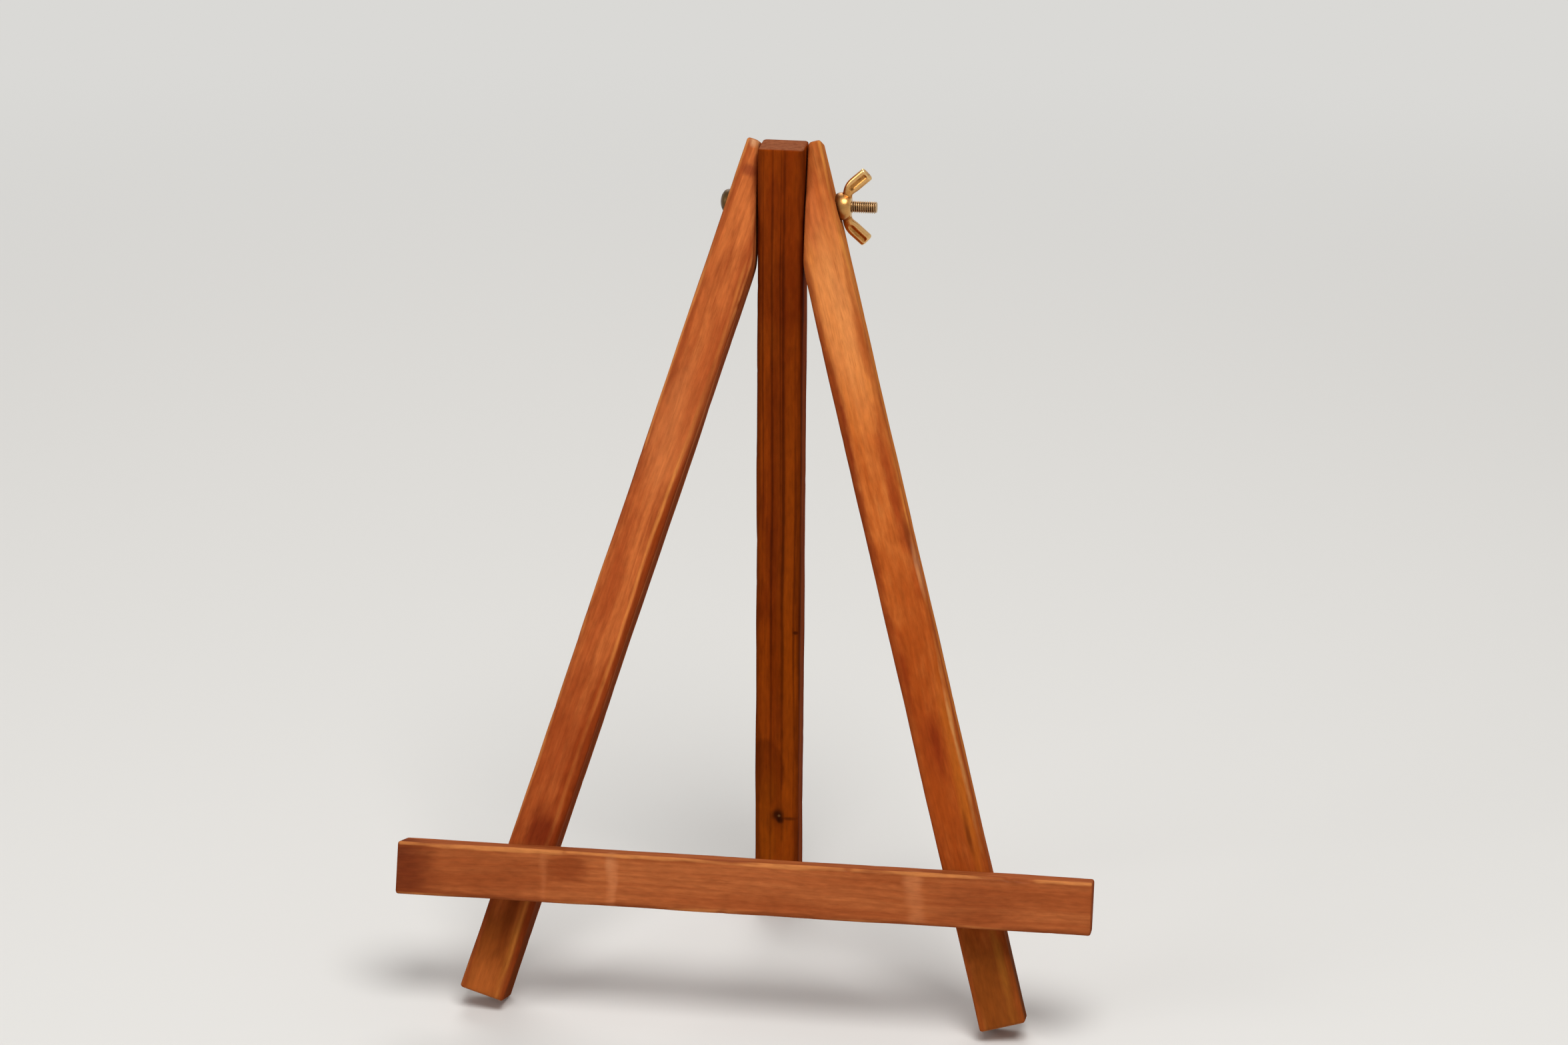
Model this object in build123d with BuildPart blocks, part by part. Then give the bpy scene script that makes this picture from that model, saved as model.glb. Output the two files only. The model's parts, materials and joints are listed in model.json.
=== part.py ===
"""Small wooden tabletop easel: two splayed front legs, a picture ledge and a swinging rear leg.

X is to the right, Y is away from the viewer and Z is up, in millimetres. The origin is on the
surface that the feet stand on, under the middle of the easel's box.
"""

import os
from math import cos, hypot, radians, sin, sqrt, tan

from build123d import *

os.makedirs("parts", exist_ok=True)

# Front legs, two strips of square softwood
leg_width = 15.0
leg_depth = 15.0
front_leg_length = 289.0
bolt_from_top = 19.2  # top end down to the bolt, along the leg
cheek = 9.8  # wood from the flat to the outer face, at the bolt
splay = 16.0  # degrees, each leg from the frame's centre line
front_lean = 17.0  # degrees, the front frame from the vertical

# Rear leg, a strip of the same wood
rear_leg_width = 15.0
rear_leg_depth = 15.0
rear_top = 19.8  # bolt up to the rear leg's top end, which is cut level
rear_lean = 5.0  # degrees, the rear leg from the vertical

# Ledge, a plain bar across the fronts of the front legs
ledge_length = 222.0
ledge_height = 17.0
ledge_depth = 15.0
ledge_drop = 218.5  # bolt down to the ledge's middle, along the frame

# Easing that the sandpaper leaves
arris = 1.2
end_easing = 0.5
bend_radius = 14.0

# Pivot bolt, M4 with a slotted round head
bolt_diameter = 4.0
bolt_length = 47.5
bolt_point = 0.5
head_diameter = 8.0
head_height = 3.1
head_lip = 0.6  # straight edge under the head's dome
slot_width = 1.0
slot_depth = 1.3
seat_sink = 0.6  # how far the head and the nut bed into the sloping cheeks
head_rim = 0.4  # room round the head in its bed
nut_rim = 0.8  # room round the nut in its bed, under its wings

# Wing nut
hub_diameter = 9.0  # of the ball that the hub is cut from
hub_height = 5.2
hub_belly = 2.3  # base up to the middle of that ball
neck_diameter = 2.6  # of the short neck between the hub and a wing
neck_middle = 3.85  # base up to the middle of the neck
neck_reach = 6.2  # from the nut's axis
nut_height = 11.75  # base to the tips of the wings
wing_span = 26.4
wing_angle = 47.0  # degrees, each wing from the nut's base plane
wing_length = 8.4
wing_width = 4.4  # at the tip
wing_root_width = 3.6
wing_thickness = 2.4
wing_corner = 0.9
wing_easing = 0.3
panel_length = 6.2
panel_margin = 0.8
panel_sink = 0.35
nut_turn = 8.0  # degrees, the wings from the vertical

# Ledge screws, countersunk, one through each front leg
screw_diameter = 3.0
screw_length = 25.0
screw_tip = 4.0
screw_head_diameter = 6.0
recess_length = 3.0
recess_width = 0.8
recess_depth = 1.4
recess_taper = 12.0  # degrees

# Clearances
pivot_play = 0.05  # round the bolt, in the wood and in the nut
side_play = 0.35  # rear leg to the flat of each front leg
screw_play = 0.05

# The front frame in its own plane, from the bolt: x to the right, y up the frame
flat_x = rear_leg_width / 2 + side_play
cheek_x = flat_x + cheek
leg_axis_x = cheek_x - leg_width / 2 / cos(radians(splay))
leg_middle = bolt_from_top - front_leg_length / 2
leg_middle_x = leg_axis_x - leg_middle * sin(radians(splay))
leg_middle_y = leg_middle * cos(radians(splay))
bend_y = (cheek - leg_width / cos(radians(splay))) / tan(radians(splay))
foot_drop = (front_leg_length - bolt_from_top) * cos(radians(splay))
screw_x = leg_axis_x + ledge_drop * tan(radians(splay))


def corner_reach(width_share, depth_share):
    """How far a front leg's eased corner reaches past its middle line, along a direction.

    The direction is given by its shares along the leg's width and along its depth.
    """
    square = width_share * (leg_width / 2 - arris) + depth_share * (leg_depth / 2 - arris)
    return square + arris * hypot(width_share, depth_share)


# The bolt's height, from the inner back corner that each front foot stands on
lean = radians(front_lean)
pivot_height = foot_drop * cos(lean) + corner_reach(cos(lean) * sin(radians(splay)), sin(lean))

# The rear leg reaches the same surface with the front edge of its foot
rear_reach = (pivot_height - rear_leg_depth / 2 * sin(radians(rear_lean))) / cos(radians(rear_lean))

# The bolt's place front to back, midway between the foremost edge and the rear foot's back
foot_front = foot_drop * sin(lean) + corner_reach(sin(lean) * sin(radians(splay)), cos(lean))
ledge_front = (
    (ledge_drop + ledge_height / 2 - arris) * sin(lean)
    + (leg_depth / 2 + ledge_depth - arris) * cos(lean)
    + arris
)
rear_back = rear_reach * sin(radians(rear_lean)) + rear_leg_depth / 2 * cos(radians(rear_lean))
pivot = Vector(0, (max(ledge_front, foot_front) - rear_back) / 2, pivot_height)

# Working planes through the bolt: the two frames face the viewer, and the bolt runs along X
front_plane = Plane(origin=pivot, x_dir=(1, 0, 0), z_dir=(0, -cos(lean), sin(lean)))
rear_plane = Plane(
    origin=pivot,
    x_dir=(1, 0, 0),
    z_dir=(0, -cos(radians(rear_lean)), -sin(radians(rear_lean))),
)
bolt_plane = Plane(origin=pivot, x_dir=(0, 1, 0), z_dir=(1, 0, 0))
seat_x = cheek_x - seat_sink

# The screws start flush in the backs of the front legs, and point at the ledge
left_screw_seat = front_plane * Location((-screw_x, -ledge_drop, -leg_depth / 2), (0, 180, 0))
right_screw_seat = front_plane * Location((screw_x, -ledge_drop, -leg_depth / 2), (0, 180, 0))


def parallel_to(direction):
    """An axis to choose the edges or faces that lie along a direction."""
    return Axis((0, 0, 0), direction)


def make_front_leg(side, bed_diameter, screw_seat):
    """One front leg, right for side 1 and left for side -1."""
    middle = Location((side * leg_middle_x, leg_middle_y, 0), (0, 0, side * splay))
    leg_plane = Plane(front_plane * middle)
    bend = front_plane.from_local_coords((side * flat_x, bend_y, 0))
    with BuildPart() as leg:
        with BuildSketch(leg_plane):
            Rectangle(leg_width, front_leg_length)
        extrude(amount=leg_depth / 2, both=True)
        # The flat at the top, which faces the rear leg
        flat_side = Keep.TOP if side > 0 else Keep.BOTTOM
        split(bisect_by=Plane.YZ.offset(side * flat_x), keep=flat_side)
        corners = leg.edges().filter_by(parallel_to(front_plane.z_dir))
        fillet(corners.sort_by_distance(bend)[0], bend_radius)
        # Eased arrises, then the eased top end
        rims = leg.faces().filter_by(parallel_to(front_plane.z_dir)).edges()
        fillet(rims - rims.filter_by(parallel_to(leg_plane.x_dir)), arris)
        fillet(leg.faces().sort_by(Axis.Z)[-1].edges(), end_easing)
        # Bolt hole, and the bed of the bolt head or the nut
        with Locations(bolt_plane):
            Hole(bolt_diameter / 2 + pivot_play)
        with BuildSketch(bolt_plane.offset(side * seat_x)):
            Circle(bed_diameter / 2)
        extrude(amount=side * leg_width, mode=Mode.SUBTRACT)
        with Locations(screw_seat):
            CounterSinkHole(
                screw_diameter / 2 + screw_play,
                screw_head_diameter / 2 + screw_play,
                counter_sink_angle=90,
            )
    return leg


front_leg_left = make_front_leg(-1, head_diameter + 2 * head_rim, left_screw_seat)
front_leg_left.part.label = "front_leg_left"
export_step(front_leg_left.part, "parts/front_leg_left.step")

front_leg_right = make_front_leg(1, hub_diameter + 2 * nut_rim, right_screw_seat)
front_leg_right.part.label = "front_leg_right"
export_step(front_leg_right.part, "parts/front_leg_right.step")

with BuildPart() as rear_leg:
    with BuildSketch(rear_plane):
        with Locations((0, -rear_reach)):
            Rectangle(rear_leg_width, rear_reach + 2 * rear_top, align=(Align.CENTER, Align.MIN))
    extrude(amount=rear_leg_depth / 2, both=True)
    split(bisect_by=Plane.XY.offset(pivot_height + rear_top), keep=Keep.BOTTOM)
    fillet(rear_leg.edges().filter_by(parallel_to(rear_plane.y_dir)), arris)
    fillet(rear_leg.faces().sort_by(Axis.Z)[-1].edges(), end_easing)
    with Locations(bolt_plane):
        Hole(bolt_diameter / 2 + pivot_play)
rear_leg.part.label = "rear_leg"
export_step(rear_leg.part, "parts/rear_leg.step")

with BuildPart() as ledge:
    with BuildSketch(front_plane.offset(leg_depth / 2)):
        with Locations((0, -ledge_drop)):
            Rectangle(ledge_length, ledge_height)
    extrude(amount=ledge_depth)
    fillet(ledge.edges().filter_by(Axis.X), arris)
    ledge_ends = ledge.faces().filter_by(Axis.X)
    fillet(ledge_ends.edges(), end_easing)
    # Blind holes that the screws bite into
    with Locations(left_screw_seat, right_screw_seat):
        Hole(screw_diameter / 2 + screw_play, depth=screw_length + screw_play)
ledge.part.label = "ledge"
export_step(ledge.part, "parts/ledge.step")

dome_height = head_height - head_lip
dome_radius = (head_diameter**2 / 4 + dome_height**2) / (2 * dome_height)
with BuildPart() as pivot_bolt:
    # Half section of the bolt, from the head's crown to the point
    with BuildSketch(Plane(origin=pivot, x_dir=(1, 0, 0), z_dir=(0, -1, 0))):
        with BuildLine():
            RadiusArc((-head_height - seat_x, 0), (-head_lip - seat_x, head_diameter / 2), dome_radius)
            Polyline(
                (-head_lip - seat_x, head_diameter / 2),
                (-seat_x, head_diameter / 2),
                (-seat_x, bolt_diameter / 2),
                (bolt_length - seat_x - bolt_point, bolt_diameter / 2),
                (bolt_length - seat_x, bolt_diameter / 2 - bolt_point),
                (bolt_length - seat_x, 0),
                (-head_height - seat_x, 0),
            )
        make_face()
    revolve(axis=Axis(pivot, (1, 0, 0)))
    # Screwdriver slot across the crown
    with BuildSketch(bolt_plane.offset(-seat_x - head_height)):
        Rectangle(slot_width, head_diameter + head_rim)
    extrude(amount=slot_depth, mode=Mode.SUBTRACT)
pivot_bolt.part.label = "pivot_bolt"
export_step(pivot_bolt.part, "parts/pivot_bolt.step")

# The nut's own planes: its base beds on the leg, and each wing lies in a plane through its axis
nut_base = bolt_plane.offset(seat_x)
wing_tip_x = wing_span / 2 - wing_width / 2 * sin(radians(wing_angle))
wing_tip_y = nut_height - wing_width / 2 * cos(radians(wing_angle))
wing_tip = Location((wing_tip_x, wing_tip_y, 0), (0, 0, wing_angle))


def wing_section(turn):
    """The plane of one wing: x out from the nut's axis, y along the axis, away from the leg."""
    out = Vector(0, 0, 1).rotate(Axis.X, turn)
    return Plane(origin=nut_base.origin, x_dir=out, z_dir=Vector(-1, 0, 0).cross(out))


hub_base_radius = sqrt((hub_diameter / 2) ** 2 - hub_belly**2)
hub_face_radius = sqrt((hub_diameter / 2) ** 2 - (hub_height - hub_belly) ** 2)
with BuildPart() as wing_nut:
    # Two wings that lean away from the leg, wider towards their tips
    for turn in (nut_turn, nut_turn + 180):
        with BuildSketch(Plane(wing_section(turn) * wing_tip)) as wing:
            Polygon(
                (0, -wing_width / 2),
                (0, wing_width / 2),
                (-wing_length, wing_root_width / 2),
                (-wing_length, -wing_root_width / 2),
                align=None,
            )
            fillet(wing.vertices().group_by(Axis.X)[-1], wing_corner)
        extrude(amount=wing_thickness / 2, both=True)
    wing_sides = wing_nut.faces().filter_by(parallel_to(wing_section(nut_turn).z_dir))
    chamfer(wing_sides.edges(), wing_easing)
    # A short round neck under each wing
    for turn in (nut_turn, nut_turn + 180):
        neck_foot = Location((0, neck_middle, 0), (0, 90, 0))
        with BuildSketch(Plane(wing_section(turn) * neck_foot)):
            Circle(neck_diameter / 2)
        extrude(amount=neck_reach)
    # Hub, a ball cut flat at its base and its face
    with BuildSketch(wing_section(nut_turn)):
        with BuildLine():
            RadiusArc((hub_base_radius, 0), (hub_face_radius, hub_height), -hub_diameter / 2)
            Polyline(
                (hub_face_radius, hub_height),
                (0, hub_height),
                (0, 0),
                (hub_base_radius, 0),
            )
        make_face()
    revolve(axis=Axis(nut_base.origin, (1, 0, 0)))
    # A sunk panel in both faces of each wing
    for turn in (nut_turn, nut_turn + 180):
        wing_plane = Plane(wing_section(turn) * wing_tip)
        for side in (-1, 1):
            with BuildSketch(wing_plane.offset(side * wing_thickness / 2)):
                with Locations((-panel_margin - panel_length / 2, 0)):
                    SlotOverall(panel_length, wing_width - 2 * panel_margin)
            extrude(amount=-side * panel_sink, mode=Mode.SUBTRACT)
    with Locations(nut_base):
        Hole(bolt_diameter / 2 + pivot_play)
wing_nut.part.label = "wing_nut"
export_step(wing_nut.part, "parts/wing_nut.step")

# One wood screw, its head's face at the origin and its point down
with BuildPart() as wood_screw:
    with BuildSketch(Plane.XZ):
        with BuildLine():
            Polyline(
                (0, 0),
                (screw_head_diameter / 2, 0),
                (screw_diameter / 2, (screw_diameter - screw_head_diameter) / 2),
                (screw_diameter / 2, screw_tip - screw_length),
                (0, -screw_length),
                close=True,
            )
        make_face()
    revolve(axis=Axis.Z)
    # Cross recess
    with BuildSketch(Plane.XY):
        Rectangle(recess_length, recess_width)
        Rectangle(recess_width, recess_length)
    extrude(amount=-recess_depth, taper=recess_taper, mode=Mode.SUBTRACT)

with BuildPart() as ledge_screws:
    with Locations(left_screw_seat, right_screw_seat):
        add(wood_screw.part)
ledge_screws.part.label = "ledge_screws"
export_step(ledge_screws.part, "parts/ledge_screws.step")
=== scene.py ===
"""Looks of a small wooden tabletop easel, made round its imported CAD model."""

import json
import math

import bmesh
import bpy
import numpy as np
from mathutils import Matrix, Vector


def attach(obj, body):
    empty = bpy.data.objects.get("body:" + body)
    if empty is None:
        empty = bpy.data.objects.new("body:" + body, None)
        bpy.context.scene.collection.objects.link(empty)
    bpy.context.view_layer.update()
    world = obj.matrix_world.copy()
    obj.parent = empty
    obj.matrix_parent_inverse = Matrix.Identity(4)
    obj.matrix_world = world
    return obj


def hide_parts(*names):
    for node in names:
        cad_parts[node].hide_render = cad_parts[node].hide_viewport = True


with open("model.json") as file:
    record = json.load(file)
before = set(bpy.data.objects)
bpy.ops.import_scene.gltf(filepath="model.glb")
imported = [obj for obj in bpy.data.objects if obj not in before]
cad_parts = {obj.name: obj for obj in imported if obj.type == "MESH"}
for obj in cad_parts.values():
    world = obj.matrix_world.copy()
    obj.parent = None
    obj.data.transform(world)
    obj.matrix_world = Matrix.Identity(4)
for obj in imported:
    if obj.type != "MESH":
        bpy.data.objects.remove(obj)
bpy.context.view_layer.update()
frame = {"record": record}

# Front legs
# Two square softwood strips, planed, stained red-orange and varnished. Their inner tops are cut to
# flats that face the rear leg, and their arrises are rounded by hand with sandpaper.

MM = 0.001
joints = {joint["name"]: joint for joint in frame["record"]["behaviour"]["joints"]}
mounts = {mount["name"]: mount for mount in frame["record"]["mounts"]}
pivot = np.array(joints["rear_leg_swing"]["pos_m"]) / MM
across = np.array([1.0, 0.0, 0.0])
frame_up = np.array(mounts["ledge_top"]["axis"])
frame_front = np.cross(across, frame_up)

strip = 15.0  # width and depth of the legs, mm
leg_length = 289.0
bolt_from_top = 19.2
splay = math.radians(16.0)
flat_x = 7.85  # the flats, from the middle of the easel
cheek_x = 17.65  # the outer faces, at the bolt
leg_axis_x = cheek_x - strip / 2 / math.cos(splay)
bolt_hole = 2.05  # radius
seat_x = 17.05  # floor of the beds under the bolt head and the nut
bed_radius = {-1: 4.4, 1: 5.3}
bed_reach = 40.0  # how far out the beds are cut, past the legs
ledge_drop = 218.5  # bolt down to the ledge's middle
screw_x = leg_axis_x + ledge_drop * math.tan(splay)
screw_hole = 1.55  # radius
countersink = 3.1  # radius at the leg's back
cutter_past = 2.0  # how far the countersink's cutter starts behind the leg


def linear(hex_colour):
    """An sRGB hex colour as linear RGBA: below 0.04045 a straight line, above it a 2.4 power."""
    values = [int(hex_colour[i : i + 2], 16) / 255 for i in (1, 3, 5)]
    return [v / 12.92 if v <= 0.04045 else ((v + 0.055) / 1.055) ** 2.4 for v in values] + [1.0]


def add(tree, kind, *values, **named):
    """Adds one node. Values go to its open inputs in order, and names with a capital to the inputs so
    called; other names are its settings. A value is a number, a colour, a socket or another node."""
    made = tree.nodes.new("ShaderNode" + kind)
    for name, value in named.items():
        if name.islower():
            setattr(made, name, value)
    given = list(zip([socket for socket in made.inputs if socket.enabled], values))
    given += [(made.inputs[name], value) for name, value in named.items() if not name.islower()]
    for socket, value in given:
        if isinstance(value, bpy.types.Node):
            value = next(output for output in value.outputs if output.enabled)
        if isinstance(value, bpy.types.NodeSocket):
            tree.links.new(value, socket)
        else:
            socket.default_value = value
    return made


def ring_solid(*solids, name):
    """An object of closed solids, each through rings of points, rows by columns by xyz in millimetres.

    Neighbouring rings are joined by four-sided faces, and each end ring is closed by triangles to its
    middle. Rings run anticlockwise seen from the last one.
    """
    points, faces, count = [], [], 0
    for rings in solids:
        rows, columns = rings.shape[:2]
        index = count + np.arange(rows * columns).reshape(rows, columns)
        beside = np.roll(index, -1, axis=1)
        quads = np.stack([index[:-1], beside[:-1], beside[1:], index[1:]], axis=-1).reshape(-1, 4)
        ends = count + rows * columns + np.repeat([[0], [1]], columns, axis=1)
        first = np.stack([ends[0], beside[0], index[0]], axis=-1)
        last = np.stack([ends[1], index[-1], beside[-1]], axis=-1)
        points += [rings.reshape(-1, 3), rings[[0, -1]].mean(axis=1)]
        faces += quads.tolist() + first.tolist() + last.tolist()
        count += rows * columns + 2
    mesh = bpy.data.meshes.new(name)
    mesh.from_pydata((np.concatenate(points) * MM).tolist(), [], faces)
    made = bpy.data.objects.new(name, mesh)
    bpy.context.scene.collection.objects.link(made)
    return made


def strip_rings(length, sides, seed, arris=1.3, easing=0.9, step=0.8, slant=0.0):
    """Rings of a sanded strip in its own axes, mm: across its width, across its depth, and along it.

    A ring is a rectangle with rounded corners, whose four sides depend on the place along the strip.
    The corner radius wavers along each arris, and grows by bell curves where the arris was knocked.
    Near both ends the ring shrinks along a quarter circle. The surface is then let in by slow sine
    waves, which run along the strip and round it, by up to a fifth of a millimetre. A slant, the rise
    of the first end across the depth, dies away over 20 mm.
    """
    end_rows, arc_points, face_points = 6, 9, 10
    knocks_each, knock_depth, knock_least, knock_spread = 9, 0.7, 0.8, 1.5
    least_radius = 0.2
    slant_fade = 20
    chance = np.random.default_rng(seed)
    eased = easing * (1 - np.cos(np.linspace(0, math.pi / 2, end_rows)))
    middle = np.linspace(easing, length - easing, round((length - 2 * easing) / step) + 1)[1:-1]
    along = np.concatenate([eased, middle, length - eased[::-1]])
    end_gap = np.minimum(along, length - along)
    inset = easing - np.sqrt(easing**2 - np.clip(easing - end_gap, 0, easing) ** 2)
    low_w, high_w, low_d, high_d = (np.broadcast_to(side, along.shape) for side in sides(along))
    corners = [(high_w, high_d), (low_w, high_d), (low_w, low_d), (high_w, low_d)]
    inward = np.array([(-1, -1), (1, -1), (1, 1), (-1, 1)])
    arcs, normals = [], []
    for quarter in range(4):
        worn = 1 + 0.3 * np.sin(along / chance.uniform(7, 16) + chance.uniform(0, 6))
        most = [[length], [knock_depth], [knock_spread]]
        place, depth, spread = chance.uniform(0, most, (3, knocks_each))[..., None]
        knocked = (depth * np.exp(-(((along - place) / (knock_least + spread)) ** 2))).sum(axis=0)
        radius = np.maximum(arris * worn + knocked - inset / 2, least_radius)[:, None, None]
        angle = np.linspace(quarter, quarter + 1, arc_points) * math.pi / 2
        normal = np.repeat(np.stack([np.cos(angle), np.sin(angle)], axis=-1)[None], len(along), axis=0)
        corner = np.stack(corners[quarter], axis=-1) + inset[:, None] * inward[quarter]
        arcs.append(corner[:, None] + radius * (inward[quarter] + normal))
        normals.append(normal)
    share = np.linspace(0, 1, face_points + 2)[1:-1][None, :, None]
    outline, facing = [], []
    for quarter in range(4):
        start, stop = arcs[quarter][:, -1:], arcs[quarter - 3][:, :1]
        outline += [arcs[quarter], start + share * (stop - start)]
        facing += [normals[quarter], np.repeat(normals[quarter][:, -1:], face_points, axis=1)]
    outline, facing = np.concatenate(outline, axis=1), np.concatenate(facing, axis=1)
    around = np.linspace(0, 2 * math.pi, outline.shape[1], endpoint=False)
    for wave_length, depth, turns in ((120, 0.10, 1), (47, 0.07, 2), (19, 0.035, 3)):
        phase = 2 * math.pi * along[:, None] / wave_length + turns * around + chance.uniform(0, 6)
        outline = outline - (depth * (1 + np.sin(phase)) / 2)[..., None] * facing
    rings = np.concatenate([outline, np.repeat(along[:, None, None], outline.shape[1], axis=1)], axis=2)
    rings[..., 2] -= slant * rings[..., 1] * np.clip(1 - rings[..., 2] / slant_fade, 0, 1)
    caps = [rings[end].mean(axis=0) * 0.5 + rings[end] * 0.5 for end in (0, -1)]
    return np.concatenate([caps[:1], rings, caps[1:]])


def turned_rings(start, direction, depths, radii, columns=48):
    """Rings of a turned shape along a direction: circles of the given radius at each depth.

    A radius may also change round its circle, as on a thread.
    """
    side = np.cross(direction, [0.0, 0.6, 0.8])
    side = side / np.linalg.norm(side)
    angle = np.linspace(0, 2 * math.pi, columns, endpoint=False)[None, :, None]
    circle = np.cos(angle) * side + np.sin(angle) * np.cross(direction, side)
    depths, radii = np.array(depths, float), np.array(radii, float)
    radii = radii[:, None] if radii.ndim == 1 else radii
    return start + depths[:, None, None] * direction + radii[..., None] * circle


def cut(piece, *solids):
    """Cuts closed solids of rings out of a piece, and keeps the result as the piece's own mesh.

    Points that the cut left closer than 3 thousandths of a millimetre are merged, and faces that it
    left with more than four corners are split into triangles.
    """
    closest = 0.003 * MM
    cutter = ring_solid(*solids, name="cutter")
    difference = piece.modifiers.new("cut", "BOOLEAN")
    difference.operation, difference.solver, difference.object = "DIFFERENCE", "EXACT", cutter
    bpy.context.view_layer.update()
    with_cut = piece.evaluated_get(bpy.context.evaluated_depsgraph_get())
    piece.data = bpy.data.meshes.new_from_object(with_cut)
    piece.modifiers.clear()
    bpy.data.objects.remove(cutter)
    tidied = bmesh.new()
    tidied.from_mesh(piece.data)
    bmesh.ops.remove_doubles(tidied, verts=tidied.verts, dist=closest)
    bmesh.ops.dissolve_degenerate(tidied, edges=tidied.edges, dist=closest)
    bmesh.ops.triangulate(tidied, faces=[face for face in tidied.faces if len(face.verts) > 4])
    tidied.to_mesh(piece.data)
    tidied.free()


def finish_strip(piece, origin, axes, length, sides, wear_and_highlight, material):
    """Shades a strip, and marks how near each point is to a long arris: 1 on it, 0 from 3 mm away.

    Its list of shares gives how much each long arris is worn to paler wood and lit by a painted
    highlight, at the first end and at the last one, by low and high width, then low and high depth. The
    share of a point goes evenly from one arris to the next across the faces between them, and from end
    to end.
    """
    worn_width = 3
    mesh = piece.data
    points = np.zeros(len(mesh.vertices) * 3)
    mesh.vertices.foreach_get("co", points)
    w, d, s = ((points.reshape(-1, 3) / MM - origin) @ axes.T).T
    low_w, high_w, low_d, high_d = sides(s)
    gap_w, gap_d = np.minimum(w - low_w, high_w - w), np.minimum(d - low_d, high_d - d)
    near = np.clip(1 - (gap_w + gap_d) / worn_width, 0, 1)
    share_w = np.clip((w - low_w) / (high_w - low_w), 0, 1)
    share_d = np.clip((d - low_d) / (high_d - low_d), 0, 1)
    first, last = np.array(wear_and_highlight)[..., None]
    low_side, high_side = first + (last - first) * np.clip(s / length, 0, 1)
    at_low = low_side[0] + (low_side[1] - low_side[0]) * share_d
    at_high = high_side[0] + (high_side[1] - high_side[0]) * share_d
    # Paler wood on the arrises, partly worn and partly a painted highlight
    rubbed_and_highlight = near * (at_low + (at_high - at_low) * share_w)
    for name, values in (("arris", near), ("rubbed_and_highlight", rubbed_and_highlight)):
        mesh.attributes.new(name, "FLOAT", "POINT").data.foreach_set("value", values.astype(np.float32))
    mesh.shade_smooth()
    mesh.set_sharp_from_angle(angle=math.radians(38))
    mesh.materials.clear()
    mesh.materials.append(material)


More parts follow.
